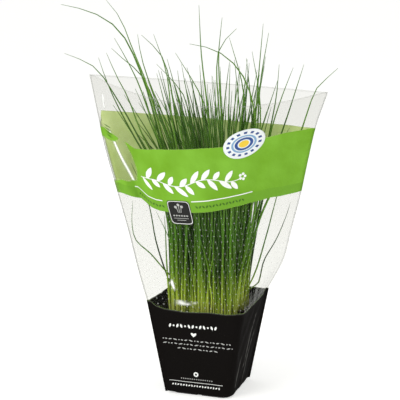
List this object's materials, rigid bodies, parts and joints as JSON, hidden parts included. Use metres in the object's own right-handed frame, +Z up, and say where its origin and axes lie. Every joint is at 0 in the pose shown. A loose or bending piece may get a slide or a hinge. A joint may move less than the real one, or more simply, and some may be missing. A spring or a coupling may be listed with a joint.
{
  "type": "potted chive plant",
  "caption": "Bunch of chives growing in a square tapered plastic pot, inside a tall clear film sleeve that flares open above the rim.",
  "frame": {"origin": "middle of the pot's foot, on the surface it stands on", "axes": "+Z up along the plant; -Y out of the pot's front face; +X to that face's right as seen from the front"},
  "size_m": [0.2796, 0.1173, 0.412],
  "materials": {
    "black_plastic": "matte black moulded pot",
    "peat_soil": "moist crumbly peat",
    "chive_green": "waxy, slightly glossy leaf",
    "clear_film": "clear glossy film, black print at the pot and a green printed band",
    "sticker_film": "smooth satin sticker"
  },
  "bodies": {
    "root": {"pot": "black_plastic", "soil": "peat_soil", "sleeve": "clear_film", "oval_sticker": "sticker_film", "tuft_01": "chive_green", "tuft_02": "chive_green", "tuft_03": "chive_green", "tuft_04": "chive_green", "tuft_05": "chive_green", "tuft_06": "chive_green", "tuft_07": "chive_green", "tuft_08": "chive_green", "tuft_09": "chive_green"}
  },
  "joints": []
}
